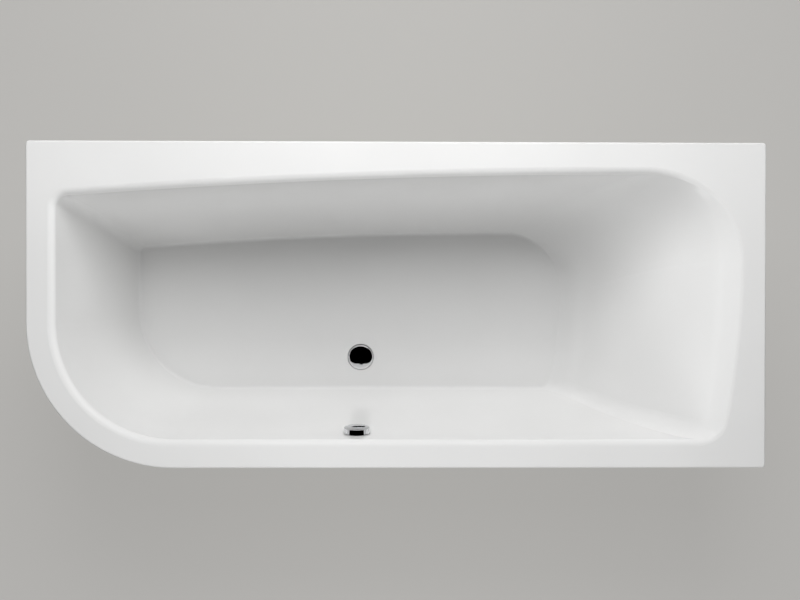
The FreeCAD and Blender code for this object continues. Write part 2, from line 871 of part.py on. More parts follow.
def overflow_rosette(spot):
    top = rosette_gasket + rosette_thickness
    parts = [rod(rosette_radius, rosette_gasket, top), rod(rosette_hub, -rosette_sleeve_length, top),
             tube(rosette_sleeve, rosette_sleeve - rosette_sleeve_wall, -rosette_sleeve_length, top)]
    opening = tube(rosette_open_outer, rosette_open_inner, rosette_gasket - overrun, top + overrun)
    spokes = []
    half = rosette_spoke / 2
    for turn in (0, 90):
        bar = block(-rosette_radius, rosette_radius, -half, half, rosette_gasket - overrun, top + overrun)
        spokes.append(bar.rotated(V(0, 0, 0), UP, turn))
    body = parts[0].cut(opening.cut(spokes))
    body = fused([body] + parts[1:])
    body = body.cut(rod(spindle_radius + stem_clearance, -overrun, top + overrun))
    holes = []
    for side in (-1, 1):
        hole = rod(screw_radius + nut_clearance, -overrun, top + overrun)
        holes.append(hole.translated(V(side * screw_spread, 0, 0)))
    return placed(body.cut(holes), *spot)


def overflow_screws(spot):
    top = rosette_gasket + rosette_thickness
    tip = -(body_rear - overflow_rear_wall - screw_boss_length + screw_depth)
    copies = []
    for side in (-1, 1):
        screw = rod(screw_radius, tip, top).fuse(rod(screw_head_radius, top, top + screw_head)).removeSplitter()
        copies.append(placed(screw.translated(V(side * screw_spread, 0, 0)), *spot))
    return Part.Compound(copies)


def overflow_knob(spot):
    rise = knob_dome - math.sqrt(knob_dome ** 2 - (knob_radius - knob_edge_round) ** 2)
    crown = knob_front + rise
    flat = knob_radius - knob_edge_round
    half = flat / 2
    half_height = crown - knob_dome + math.sqrt(knob_dome ** 2 - half ** 2)
    inner = knob_radius - knob_wall
    ceiling = knob_front - knob_wall
    bend = knob_edge_round * (1 - cosine(45.0))
    corners = (V(0, 0, ceiling), V(inner, 0, ceiling), V(inner, 0, knob_rear), V(knob_radius, 0, knob_rear),
               V(knob_radius, 0, knob_front - knob_edge_round), V(flat, 0, knob_front), V(0, 0, crown))
    edges = []
    for start, end in zip(corners[:4], corners[1:5]):
        edges.append(Part.LineSegment(start, end).toShape())
    shoulder = V(knob_radius - bend, 0, knob_front - bend)
    edges.append(Part.Arc(corners[4], shoulder, corners[5]).toShape())
    edges.append(Part.Arc(corners[5], V(half, 0, half_height), corners[6]).toShape())
    edges.append(Part.LineSegment(corners[6], corners[0]).toShape())
    knob = turned_edges(edges)
    boss = tube(knob_boss, spindle_radius, knob_boss_end, ceiling + knob_wall / 4)
    return placed(knob.fuse(boss).removeSplitter(), *spot)


def overflow_spindle(spot):
    end = -(body_rear + drum_gap + drum_width + clip_width)
    shoulder = -(body_rear + drum_gap)
    spindle = rod(spindle_radius, end, knob_front - knob_wall)
    spindle = spindle.fuse(rod(shoulder_radius, shoulder, shoulder + shoulder_width)).removeSplitter()
    return placed(spindle, *spot)


def cable_drum(spot):
    front = -(body_rear + drum_gap)
    rear = front - drum_width
    middle = (front + rear) / 2
    drum = turned(((spindle_radius, front), (drum_radius, front), (drum_radius, middle + drum_groove),
                   (drum_radius - drum_groove, middle), (drum_radius, middle - drum_groove),
                   (drum_radius, rear), (spindle_radius, rear)))
    return placed(drum, *spot)


def spindle_clip(spot):
    rear = -(body_rear + drum_gap + drum_width)
    return placed(tube(clip_radius, spindle_radius, rear - clip_width, rear), *spot)


def rear_gasket(spot):
    return placed(tube(rear_gasket_radius, rear_gasket_bore, -rear_gasket_end, -seat_below_wall), *spot)


def spout_top(spot):
    """Where the spout's upright axis meets the axis of the fitting."""
    place, heading = spot
    return place - heading * (rear_gasket_end + spout_offset)


def overflow_body(spot):
    front = -rear_gasket_end
    inside = -(body_rear - overflow_rear_wall)
    top = spout_top(spot)
    reach = top.z - spout_mouth
    flange = rod(overflow_flange_radius, front - overflow_flange, front)
    barrel = placed(fused([flange, rod(overflow_body_radius, -body_rear, front)]), *spot)
    socket = rod(overflow_pipe_radius + socket_wall, reach - socket_depth - socket_floor, reach)
    spout = rod(spout_radius, 0, reach).fuse(socket)
    body = barrel.fuse(placed(spout, top, DOWN)).removeSplitter()
    body = body.cut(placed(rod(overflow_chamber, inside, front + overrun), *spot))
    body = body.cut(placed(pipe_passage(reach), top, DOWN))
    posts = []
    holes = [rod(spindle_radius + spindle_fit, -body_rear - overrun, 0)]
    tip = inside + screw_boss_length - screw_depth
    for side in (-1, 1):
        shift = V(side * screw_spread, 0, 0)
        post = rod(screw_boss, inside - overflow_rear_wall / 2, inside + screw_boss_length)
        posts.append(post.translated(shift))
        holes.append(rod(screw_radius + thread_clearance, tip, 0).translated(shift))
    body = body.fuse([placed(post, *spot) for post in posts]).removeSplitter()
    return body.cut([placed(hole, *spot) for hole in holes])


def wire_exit(spot):
    """Place under the rear cover where the wire leaves the drum."""
    place, heading = spot
    middle = place - heading * (body_rear + drum_gap + drum_width / 2)
    return middle + V(wire_offset, 0, -cover_radius)


def rear_cover(spot):
    outer = rod(cover_radius, -body_rear - cover_depth, -body_rear)
    rim = [edge for edge in outer.Edges if edge.BoundBox.ZMax < -body_rear - cover_depth + touch]
    outer = outer.makeFillet(cover_wall, rim)
    inner = rod(cover_radius - cover_wall, -body_rear - cover_depth + cover_wall, -body_rear + overrun)
    wire = placed(rod(wire_hole, -gland_bury, overrun), wire_exit(spot), DOWN)
    return placed(outer.cut(inner), *spot).cut(wire)


def cable_glands(spot):
    shoulder = gland_length - gland_tip
    narrow = gland_radius - gland_step
    gland = turned(((wire_hole, -gland_bury), (gland_radius, -gland_bury), (gland_radius, shoulder),
                    (narrow, shoulder), (narrow, gland_length), (wire_hole, gland_length)))
    upper = placed(gland, wire_exit(spot), DOWN)
    lower = placed(gland, V(drain_x + body_radius, drain_y, wire_z), RIGHT)
    cover = placed(rod(cover_radius, -body_rear - cover_depth, -body_rear), *spot)
    barrel = at_drain(rod(body_radius, body_bottom, body_top))
    return upper.cut(cover), lower.cut(barrel)


# Pipes and their slip joints


def overflow_pipe(spot):
    top = spout_top(spot)
    start = V(top.x, top.y, spout_mouth + pipe_insertion)
    corner = V(top.x, top.y, inlet_z)
    end = V(top.x, inlet_mouth + pipe_insertion, inlet_z)
    path = route((start, corner, end), (overflow_pipe_bend,))
    return swept(path, overflow_pipe_radius).cut(swept(path, overflow_pipe_radius - overflow_pipe_wall))


def slip_joints(spot):
    """Seal and nut of each pipe joint, by name: the place of the socket's mouth and its heading."""
    top = spout_top(spot)
    joints = {
        "outlet": (outlet_radius, outlet_spot(outlet_socket_end), BACK),
        "overflow_pipe_upper": (overflow_pipe_radius, V(top.x, top.y, spout_mouth), DOWN),
        "overflow_pipe_lower": (overflow_pipe_radius, V(drain_x, inlet_mouth, inlet_z), FRONT),
    }
    nodes = {}
    for name, (radius, mouth, heading) in joints.items():
        nodes[name + "_seal"] = placed(slip_seal(radius), mouth, heading)
        nodes[name + "_nut"] = placed(slip_nut(radius), mouth, heading)
    return nodes


def build():
    well = well_form(0, 0, floor_slope_share, floor_round)
    outside = well_form(acrylic, acrylic, floor_slope_share, floor_round + acrylic)
    spot = overflow_axis(well)
    shell = tub_shell(well, outside)
    skin = fibreglass_backing(outside)
    hole = placed(rod(overflow_hole, -overrun, overrun), *spot)
    shell = shell.cut(hole)
    seat = placed(rod(seat_spot_radius, -2 * overrun, -seat_below_wall), *spot)
    skin = skin.cut(hole).cut(seat)
    gland_upper, gland_lower = cable_glands(spot)
    nodes = {
        "tub_shell": shell,
        "fibreglass_backing": skin,
        "base_board": base_board(),
        "cross_rail_left": cross_rail(rail_left_x),
        "cross_rail_right": cross_rail(rail_right_x),
        "rail_screws": rail_screws(),
        "stud_nuts": stud_nuts(),
        "waste_flange": waste_flange(),
        "flange_seal": flange_seal(),
        "waste_gasket": waste_gasket(),
        "waste_body": waste_body(),
        "plug_cap": plug_cap(),
        "plug_seal": plug_seal(),
        "plug_stem": plug_stem(),
        "lift_lever": lift_lever(),
        "lever_pin": lever_pin(),
        "trap_nut": trap_nut(),
        "trap_seal": trap_seal_ring(),
        "trap_cup": trap_cup(),
        "clean_out_cap": clean_out_cap(),
        "outlet_pipe": outlet_pipe(),
        "overflow_front_gasket": front_gasket(shell, spot),
        "overflow_rosette": overflow_rosette(spot),
        "overflow_screws": overflow_screws(spot),
        "overflow_knob": overflow_knob(spot),
        "overflow_spindle": overflow_spindle(spot),
        "cable_drum": cable_drum(spot),
        "spindle_clip": spindle_clip(spot),
        "overflow_rear_gasket": rear_gasket(spot),
        "overflow_body": overflow_body(spot),
        "overflow_rear_cover": rear_cover(spot),
        "overflow_pipe": overflow_pipe(spot),
        "cable_gland_upper": gland_upper,
        "cable_gland_lower": gland_lower,
    }
    nodes.update(slip_joints(spot))
    corners = (("left", rail_left_x), ("right", rail_right_x))
    for end, rail_x in corners:
        for side, place in zip(("front", "back"), stud_places(rail_x)):
            name = "%s_%s" % (side, end)
            nodes["stud_" + name] = stud().translated(place)
            nodes["foot_pad_" + name] = foot_pad().translated(place)
            nodes["foot_sole_" + name] = foot_sole().translated(place)
    return nodes


os.makedirs("parts", exist_ok=True)
for node, shape in build().items():
    shape.exportStep("parts/%s.step" % node)
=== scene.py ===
import json
import math

import bpy
from mathutils import Matrix, Vector


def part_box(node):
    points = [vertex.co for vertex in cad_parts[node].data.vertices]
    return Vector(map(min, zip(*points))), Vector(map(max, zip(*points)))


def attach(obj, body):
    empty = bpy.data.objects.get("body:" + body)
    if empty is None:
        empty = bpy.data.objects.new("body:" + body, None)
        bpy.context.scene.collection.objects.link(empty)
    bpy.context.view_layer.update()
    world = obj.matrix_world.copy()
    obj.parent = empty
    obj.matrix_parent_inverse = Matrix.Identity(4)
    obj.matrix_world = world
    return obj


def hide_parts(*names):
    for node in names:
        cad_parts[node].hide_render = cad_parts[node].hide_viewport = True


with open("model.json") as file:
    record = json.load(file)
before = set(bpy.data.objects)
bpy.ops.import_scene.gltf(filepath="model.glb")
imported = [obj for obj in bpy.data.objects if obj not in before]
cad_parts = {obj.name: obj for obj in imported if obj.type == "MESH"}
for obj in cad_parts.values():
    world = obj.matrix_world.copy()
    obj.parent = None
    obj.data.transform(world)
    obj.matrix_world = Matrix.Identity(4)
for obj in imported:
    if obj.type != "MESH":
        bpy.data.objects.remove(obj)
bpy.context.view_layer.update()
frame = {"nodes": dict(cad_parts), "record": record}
nodes = frame["nodes"]

# Tub shell: one sheet of white acrylic, heated and drawn into the mould, with a glossy skin.
# It keeps the faint waviness of a drawn sheet, and the gloss is a little uneven where it was wiped.


def new_finish(name):
    """A material with its tree, its shader and the coordinates of the object itself."""
    finish = bpy.data.materials.new(name)
    finish.use_nodes = True
    tree = finish.node_tree
    shader = tree.nodes["Principled BSDF"]
    place = tree.nodes.new("ShaderNodeTexCoord").outputs["Object"]
    return finish, tree, shader, place


def mottle(tree, place, scale, detail=2.0):
    """Soft irregular patches, scale of them to the metre."""
    patches = tree.nodes.new("ShaderNodeTexNoise")
    patches.inputs["Scale"].default_value = scale
    patches.inputs["Detail"].default_value = detail
    tree.links.new(place, patches.inputs["Vector"])
    return patches.outputs["Fac"]


def shades(tree, value, span, dark, light):
    """Runs from the dark to the light colour while the value goes over the span."""
    ramp = tree.nodes.new("ShaderNodeValToRGB")
    for stop, position, colour in zip(ramp.color_ramp.elements, span, (dark, light)):
        stop.position = position
        stop.color = (*colour, 1.0)
    tree.links.new(value, ramp.inputs["Fac"])
    return ramp.outputs["Color"]


def between(tree, value, span):
    """Turns a value from 0 to 1 into one inside the span."""
    spread = tree.nodes.new("ShaderNodeMapRange")
    spread.inputs["To Min"].default_value, spread.inputs["To Max"].default_value = span
    tree.links.new(value, spread.inputs["Value"])
    return spread.outputs["Result"]


def coat(tree, shader, colour, roughness):
    """Puts a colour and a roughness on the surface."""
    tree.links.new(colour, shader.inputs["Base Color"])
    tree.links.new(roughness, shader.inputs["Roughness"])


def relief(tree, shader, height, depth, strength=1.0):
    """Raises the surface by up to depth metres where the height is 1."""
    bump = tree.nodes.new("ShaderNodeBump")
    bump.inputs["Strength"].default_value = strength
    bump.inputs["Distance"].default_value = depth
    tree.links.new(height, bump.inputs["Height"])
    tree.links.new(bump.outputs["Normal"], shader.inputs["Normal"])


def dress(finish, *names):
    """Gives the finish to the CAD nodes of these names."""
    for name in names:
        nodes[name].data.materials.clear()
        nodes[name].data.materials.append(finish)


white_dark = (0.785, 0.785, 0.78)
white_light = (0.815, 0.815, 0.81)
even_span = (0.3, 0.7)
acrylic_refraction = 1.49
acrylic_cloud_scale = 3.0
acrylic_wiping_scale = 9.0
acrylic_roughness = (0.10, 0.16)
wave_scale = 14.0
wave_detail = 1.0
wave_depth = 0.0003
wave_strength = 0.12
acrylic, tree, shader, place = new_finish("white_acrylic")
shader.inputs["IOR"].default_value = acrylic_refraction
coat(tree, shader,
     shades(tree, mottle(tree, place, acrylic_cloud_scale), even_span, white_dark, white_light),
     between(tree, mottle(tree, place, acrylic_wiping_scale), acrylic_roughness))
relief(tree, shader, mottle(tree, place, wave_scale, wave_detail), wave_depth, wave_strength)
dress(acrylic, "tub_shell")

# Backing: glass fibre and resin sprayed on the outside of the acrylic by hand, and rolled down.
# Chopped strands lie in every direction in the yellowish resin, over a lumpy surface.


def strands(tree, place, turn, along, across):
    """Thin streaks in one direction, 1 on a strand and 0 between them."""
    streak_detail = 1.0
    strand_edge = (0.56, 0.66)
    lay = tree.nodes.new("ShaderNodeMapping")
    lay.inputs["Rotation"].default_value = turn
    lay.inputs["Scale"].default_value = (along, across, across)
    tree.links.new(place, lay.inputs["Vector"])
    streaks = mottle(tree, lay.outputs["Vector"], 1.0, streak_detail)
    cut = tree.nodes.new("ShaderNodeMapRange")
    cut.inputs["From Min"].default_value, cut.inputs["From Max"].default_value = strand_edge
    tree.links.new(streaks, cut.inputs["Value"])
    return cut.outputs["Result"]


def combined(tree, operation, first, second):
    """What the operation makes of the first value and the second, which may be a plain number."""
    step = tree.nodes.new("ShaderNodeMath")
    step.operation = operation
    tree.links.new(first, step.inputs[0])
    if isinstance(second, float):
        step.inputs[1].default_value = second
    else:
        tree.links.new(second, step.inputs[1])
    return step.outputs["Value"]


def laid_over(tree, mask, under, over):
    """The over colour where the mask is 1, the under colour where it is 0."""
    factor_socket, under_socket, over_socket, mixed_socket = 0, 6, 7, 2
    mix = tree.nodes.new("ShaderNodeMix")
    mix.data_type = "RGBA"
    tree.links.new(mask, mix.inputs[factor_socket])
    tree.links.new(under, mix.inputs[under_socket])
    tree.links.new(over, mix.inputs[over_socket])
    return mix.outputs[mixed_socket]


resin_dark = (0.50, 0.47, 0.35)
resin_light = (0.66, 0.64, 0.52)
strand_dark = (0.68, 0.67, 0.58)
strand_light = (0.80, 0.79, 0.73)
narrow_span = (0.35, 0.65)
strand_turns = ((0.2, 0.1, 0.4), (0.9, 0.5, 1.2), (0.4, 1.1, 2.0), (1.3, 0.2, 2.7), (0.1, 0.8, 3.5))
strand_along = 26.0
strand_across = 620.0
resin_scale = 18.0
resin_detail = 4.0
strand_tone_scale = 60.0
veil_scale = 9.0
veil_cover = (0.35, 0.95)
glass_gloss_scale = 25.0
glass_roughness = (0.32, 0.62)
lump_scale = 55.0
lump_detail = 3.0
lump_share = 2.5
strand_share = 0.5
glass_depth = 0.0011
glass, tree, shader, place = new_finish("sprayed_glass_fibre")
fibre = None
for turn in strand_turns:
    layer = strands(tree, place, turn, strand_along, strand_across)
    fibre = layer if fibre is None else combined(tree, "MAXIMUM", fibre, layer)
resin = shades(tree, mottle(tree, place, resin_scale, resin_detail), narrow_span, resin_dark, resin_light)
thread = shades(tree, mottle(tree, place, strand_tone_scale), narrow_span, strand_dark, strand_light)
veil = combined(tree, "MULTIPLY", fibre, between(tree, mottle(tree, place, veil_scale), veil_cover))
coat(tree, shader, laid_over(tree, veil, resin, thread),
     between(tree, mottle(tree, place, glass_gloss_scale), glass_roughness))
lumps = combined(tree, "MULTIPLY", mottle(tree, place, lump_scale, lump_detail), lump_share)
ridges = combined(tree, "MULTIPLY", fibre, strand_share)
relief(tree, shader, combined(tree, "ADD", lumps, ridges), glass_depth)
dress(glass, "fibreglass_backing")

# Base board: raw chipboard under the floor of the well, which takes the screws of the rails.
# Pressed wood chips of several browns, coarse in the middle and finer at the faces.

chip_dark = (0.27, 0.17, 0.085)
chip_light = (0.60, 0.44, 0.26)
dust_dark = (0.34, 0.23, 0.13)
dust_light = (0.52, 0.38, 0.22)
chip_turn = (0.15, 0.1, 0.5)
chip_scale = (150.0, 420.0, 700.0)
chip_span = (0.1, 0.9)
dust_scale = 900.0
dust_detail = 3.0
bare_scale = 120.0
bare_cover = (0.1, 0.75)
board_roughness = (0.62, 0.86)
board_depth = 0.0003
board, tree, shader, place = new_finish("raw_chipboard")
lay = tree.nodes.new("ShaderNodeMapping")
lay.inputs["Rotation"].default_value = chip_turn
lay.inputs["Scale"].default_value = chip_scale
tree.links.new(place, lay.inputs["Vector"])
chips = tree.nodes.new("ShaderNodeTexVoronoi")
chips.inputs["Scale"].default_value = 1.0
tree.links.new(lay.outputs["Vector"], chips.inputs["Vector"])
tone = tree.nodes.new("ShaderNodeSeparateColor")
tree.links.new(chips.outputs["Color"], tone.inputs["Color"])
grit = mottle(tree, place, dust_scale, dust_detail)
flakes = shades(tree, tone.outputs["Red"], chip_span, chip_dark, chip_light)
dust = shades(tree, grit, narrow_span, dust_dark, dust_light)
bare = between(tree, mottle(tree, place, bare_scale), bare_cover)
coat(tree, shader, laid_over(tree, bare, flakes, dust), between(tree, tone.outputs["Green"], board_roughness))
relief(tree, shader, combined(tree, "ADD", tone.outputs["Blue"], grit), board_depth)
dress(board, "base_board")

# Cross rails and stud nuts: folded and punched steel strip and hexagon nuts, both hot galvanised.
# Zinc crystals show as grey flakes of slightly different tone and gloss.

zinc_dark = (0.50, 0.51, 0.53)
zinc_light = (0.70, 0.71, 0.73)
spangle_scale = 210.0
spangle_span = (0.0, 1.0)
smear_scale = 30.0
smear_detail = 3.0
zinc_roughness = (0.28, 0.60)
zinc_grain_scale = 600.0
zinc_grain_depth = 0.00006
zinc, tree, shader, place = new_finish("galvanised_steel")
shader.inputs["Metallic"].default_value = 1.0
spangle = tree.nodes.new("ShaderNodeTexVoronoi")
spangle.inputs["Scale"].default_value = spangle_scale
tree.links.new(place, spangle.inputs["Vector"])
tone = tree.nodes.new("ShaderNodeSeparateColor")
tree.links.new(spangle.outputs["Color"], tone.inputs["Color"])
smears = combined(tree, "MULTIPLY", tone.outputs["Green"], mottle(tree, place, smear_scale, smear_detail))
coat(tree, shader, shades(tree, tone.outputs["Red"], spangle_span, zinc_dark, zinc_light),
     between(tree, smears, zinc_roughness))
relief(tree, shader, mottle(tree, place, zinc_grain_scale), zinc_grain_depth)
dress(zinc, "cross_rail_left", "cross_rail_right", "stud_nuts")

# Rail screws: eight pan-head steel screws, plated, driven from below through the rails into the board.
# Each head has a rounded edge and a cross recess for the driver.

plate_dark = (0.56, 0.54, 0.48)
plate_light = (0.76, 0.74, 0.67)
plate_cloud_scale = 260.0
plate_cloud_detail = 3.0
plate_gloss_scale = 420.0
plate_roughness = (0.20, 0.42)
plate_grain_scale = 1500.0
plate_grain_depth = 0.00003
plated, tree, shader, place = new_finish("plated_screw_steel")
shader.inputs["Metallic"].default_value = 1.0
clouds = mottle(tree, place, plate_cloud_scale, plate_cloud_detail)
coat(tree, shader, shades(tree, clouds, even_span, plate_dark, plate_light),
     between(tree, mottle(tree, place, plate_gloss_scale), plate_roughness))
relief(tree, shader, mottle(tree, place, plate_grain_scale), plate_grain_depth)


def pick(piece, kind, test):
    """In edit mode, selects the faces or edges whose middle passes the test."""
    bpy.ops.object.mode_set(mode="EDIT")
    bpy.context.tool_settings.mesh_select_mode = (False, kind == "EDGE", kind == "FACE")
    bpy.ops.mesh.select_all(action="DESELECT")
    bpy.ops.object.mode_set(mode="OBJECT")
    mesh = piece.data
    if kind == "FACE":
        for face in mesh.polygons:
            face.select = test(face.center)
    else:
        for edge in mesh.edges:
            start, end = (mesh.vertices[corner].co for corner in edge.vertices)
            edge.select = test((start + end) / 2)
    bpy.ops.object.mode_set(mode="EDIT")


def apply_place():
    """Puts the place, turn and scale of the selected object into its mesh."""
    bpy.ops.object.transform_apply(location=True, rotation=True, scale=True)


def pull(height):
    """Extrudes the selected face along Z."""
    bpy.ops.mesh.extrude_region_move(TRANSFORM_OT_translate={"value": (0.0, 0.0, height)})


def narrow(share):
    """Draws the selected face together around its middle."""
    bpy.ops.transform.resize(value=(share, share, 1.0))


def smooth():
    """Shades the selected piece smoothly, apart from the edges that are sharper than the crease."""
    crease = math.radians(35.0)
    bpy.ops.object.shade_smooth_by_angle(angle=crease)


def cut_away(piece, cutter):
    """Takes the cutter's shape out of the piece, and the cutter away."""
    cut = piece.modifiers.new("recess", "BOOLEAN")
    cut.operation = "DIFFERENCE"
    cut.solver = "EXACT"
    cut.object = cutter
    bpy.ops.object.select_all(action="DESELECT")
    piece.select_set(True)
    bpy.context.view_layer.objects.active = piece
    bpy.ops.object.modifier_apply(modifier=cut.name)
    bpy.data.objects.remove(cutter, do_unlink=True)


def cross_screw(head_radius, head_height, shank_radius, shank_length):
    """A screw with its head's seat at the origin: the head hangs down from it, the shank stands up."""
    edge_round = head_height * 0.38
    recess_reach = head_radius * 0.58
    recess_width = head_radius * 0.2
    recess_depth = head_height * 0.6
    recess_bevel = recess_width * 0.3
    tip_length = shank_length * 0.15
    tip_narrowing = 0.45
    just = head_height * 0.02
    head_sides = 40
    bpy.ops.object.select_all(action="DESELECT")
    bpy.ops.mesh.primitive_cylinder_add(vertices=head_sides, radius=head_radius, depth=head_height,
                                        location=(0.0, 0.0, -head_height / 2))
    screw = bpy.context.object
    apply_place()
    pick(screw, "EDGE", lambda middle: middle.z < just - head_height)
    bpy.ops.mesh.bevel(offset=edge_round, segments=4, affect="EDGES")
    pick(screw, "FACE", lambda middle: middle.z > -just)
    bpy.ops.mesh.inset(thickness=head_radius - shank_radius)
    pull(shank_length - tip_length)
    pull(tip_length)
    narrow(tip_narrowing)
    bpy.ops.object.mode_set(mode="OBJECT")
    for reach_x, reach_y in ((recess_reach, recess_width), (recess_width, recess_reach)):
        bpy.ops.object.select_all(action="DESELECT")
        bpy.ops.mesh.primitive_cube_add(size=2.0, location=(0.0, 0.0, -head_height),
                                        scale=(reach_x, reach_y, recess_depth))
        cutter = bpy.context.object
        apply_place()
        pick(cutter, "EDGE", lambda middle: middle.z > just - head_height)
        bpy.ops.mesh.bevel(offset=recess_bevel, segments=1, affect="EDGES")
        bpy.ops.object.mode_set(mode="OBJECT")
        cut_away(screw, cutter)
    smooth()
    return screw


def copies_at(model, turns, name):
    """One piece of a copy of the model at each turn, and the model away."""
    copies = []
    for turn in turns:
        copy = model.copy()
        copy.data = model.data.copy()
        copy.data.transform(turn)
        bpy.context.scene.collection.objects.link(copy)
        copies.append(copy)
    bpy.data.objects.remove(model, do_unlink=True)
    bpy.ops.object.select_all(action="DESELECT")
    for copy in copies:
        copy.select_set(True)
    bpy.context.view_layer.objects.active = copies[0]
    bpy.ops.object.join()
    copies[0].name = name
    return copies[0]


rail_metal = 0.0025
screw_head = (0.0048, 0.003)
screw_shank = (0.0025, 0.0165)
screw_shares = (0.13, 0.33, 0.72, 0.91)
turn_by_screw = 0.7
turn_by_rail = 0.4
board_low, board_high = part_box("base_board")
screw_turns = []
for number, rail in enumerate(("cross_rail_left", "cross_rail_right")):
    rail_low, rail_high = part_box(rail)
    for count, share in enumerate(screw_shares):
        spot = Vector(((rail_low[0] + rail_high[0]) / 2,
                       board_low[1] + (board_high[1] - board_low[1]) * share,
                       rail_high[2] - rail_metal))
        twist = turn_by_screw * count + turn_by_rail * number
        screw_turns.append(Matrix.Translation(spot) @ Matrix.Rotation(twist, 4, "Z"))
rail_screws = copies_at(cross_screw(*screw_head, *screw_shank), screw_turns, "rail_screw_set")
rail_screws.data.materials.append(plated)
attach(rail_screws, "tub")
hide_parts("rail_screws")

# Studs: four lengths of zinc-plated threaded rod, cut square and chamfered, screwed into the feet.
# A coarse right-hand thread runs from end to end, and the nuts on both sides of the rail hold it.

corners = ("front_left", "front_right", "back_left", "back_right")
thread_pitch = 0.00175
thread_crest = 0.006
thread_ridge = 0.000767
thread_start = 0.0012
thread_steps = 18
seam_reach = 0.000001
core_radius = 0.00505
core_chamfer = 0.0009
core_sides = 36
stud_low, stud_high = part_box("stud_front_left")
stud_length = stud_high[2] - stud_low[2]
upright = Matrix(((0.0, 1.0, 0.0), (0.0, 0.0, 1.0), (1.0, 0.0, 0.0))).to_euler()
bpy.ops.object.select_all(action="DESELECT")
bpy.ops.mesh.primitive_circle_add(vertices=3, radius=thread_ridge, fill_type="NOTHING", rotation=upright,
                                  location=(thread_crest - thread_ridge, 0.0, 0.0))
ridge = bpy.context.object
apply_place()
winding = ridge.modifiers.new("turns", "SCREW")
winding.axis = "Z"
winding.angle = 2 * math.pi
winding.screw_offset = thread_pitch
winding.iterations = int((stud_length - 2 * thread_start) / thread_pitch)
winding.steps = thread_steps
winding.render_steps = thread_steps
bpy.ops.object.modifier_apply(modifier=winding.name)
bpy.ops.object.mode_set(mode="EDIT")
bpy.ops.mesh.select_all(action="SELECT")
bpy.ops.mesh.remove_doubles(threshold=seam_reach)
bpy.ops.mesh.fill_holes(sides=3)
bpy.ops.mesh.normals_make_consistent(inside=False)
bpy.ops.transform.translate(value=(0.0, 0.0, thread_start - stud_length / 2))
bpy.ops.object.mode_set(mode="OBJECT")
bpy.ops.object.select_all(action="DESELECT")
bpy.ops.mesh.primitive_cylinder_add(vertices=core_sides, radius=core_radius, depth=stud_length)
threaded_rod = bpy.context.object
pick(threaded_rod, "EDGE", lambda middle: abs(middle.z) > stud_length / 2 - core_chamfer / 2)
bpy.ops.mesh.bevel(offset=core_chamfer, segments=2, affect="EDGES")
bpy.ops.object.mode_set(mode="OBJECT")
ridge.select_set(True)
threaded_rod.select_set(True)
bpy.context.view_layer.objects.active = threaded_rod
bpy.ops.object.join()
smooth()
for corner in corners:
    low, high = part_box("stud_" + corner)
    rod = threaded_rod.copy()
    rod.data = threaded_rod.data.copy()
    rod.data.transform(Matrix.Translation((low + high) / 2))
    rod.name = "threaded_stud_" + corner
    bpy.context.scene.collection.objects.link(rod)
    rod.data.materials.append(plated)
    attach(rod, "foot_" + corner)
    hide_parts("stud_" + corner)
bpy.data.objects.remove(threaded_rod, do_unlink=True)

# Foot pads and hand nuts: moulded in black polypropylene, with a fine spark-eroded grain.
# The same plastic makes the trap's cap and nuts, the overflow's rear cover and drum, and the glands.

black_dark = (0.013, 0.013, 0.014)
black_light = (0.032, 0.032, 0.034)
black_cloud_scale = 45.0
black_cloud_detail = 4.0
black_gloss_scale = 160.0
black_gloss_detail = 3.0
black_roughness = (0.36, 0.58)
black_grain_scale = 2200.0
black_grain_depth = 0.00008
black, tree, shader, place = new_finish("black_polypropylene")
clouds = mottle(tree, place, black_cloud_scale, black_cloud_detail)
coat(tree, shader, shades(tree, clouds, even_span, black_dark, black_light),
     between(tree, mottle(tree, place, black_gloss_scale, black_gloss_detail), black_roughness))
relief(tree, shader, mottle(tree, place, black_grain_scale), black_grain_depth)
for corner in corners:
    dress(black, "foot_pad_" + corner)
dress(black, "trap_nut", "clean_out_cap", "outlet_nut", "overflow_rear_cover", "cable_drum")
dress(black, "overflow_pipe_upper_nut", "overflow_pipe_lower_nut", "cable_gland_upper", "cable_gland_lower")

# Soles, seals and gaskets: black rubber, cut from sheet or moulded as rings, dull and slightly dusty.
# The soles are glued under the foot pads; the rings are squeezed between the fittings and the tub.

rubber_dark = (0.010, 0.010, 0.010)
rubber_light = (0.030, 0.029, 0.028)
rubber_span = (0.35, 0.75)
rubber_dust_scale = 90.0
rubber_dust_detail = 5.0
rubber_gloss_scale = 200.0
rubber_roughness = (0.62, 0.86)
rubber_grain_scale = 1200.0
rubber_grain_detail = 3.0
rubber_grain_depth = 0.00008
rubber, tree, shader, place = new_finish("black_rubber")
bloom = mottle(tree, place, rubber_dust_scale, rubber_dust_detail)
coat(tree, shader, shades(tree, bloom, rubber_span, rubber_dark, rubber_light),
     between(tree, mottle(tree, place, rubber_gloss_scale), rubber_roughness))
relief(tree, shader, mottle(tree, place, rubber_grain_scale, rubber_grain_detail), rubber_grain_depth)
for corner in corners:
    dress(rubber, "foot_sole_" + corner)
dress(rubber, "flange_seal", "waste_gasket", "plug_seal", "trap_seal", "outlet_seal", "overflow_front_gasket")
dress(rubber, "overflow_rear_gasket", "overflow_pipe_upper_seal", "overflow_pipe_lower_seal")

# Waste flange and rosette: turned brass, polished and chromed to a mirror.
# Only thin smears and water marks break the reflection.

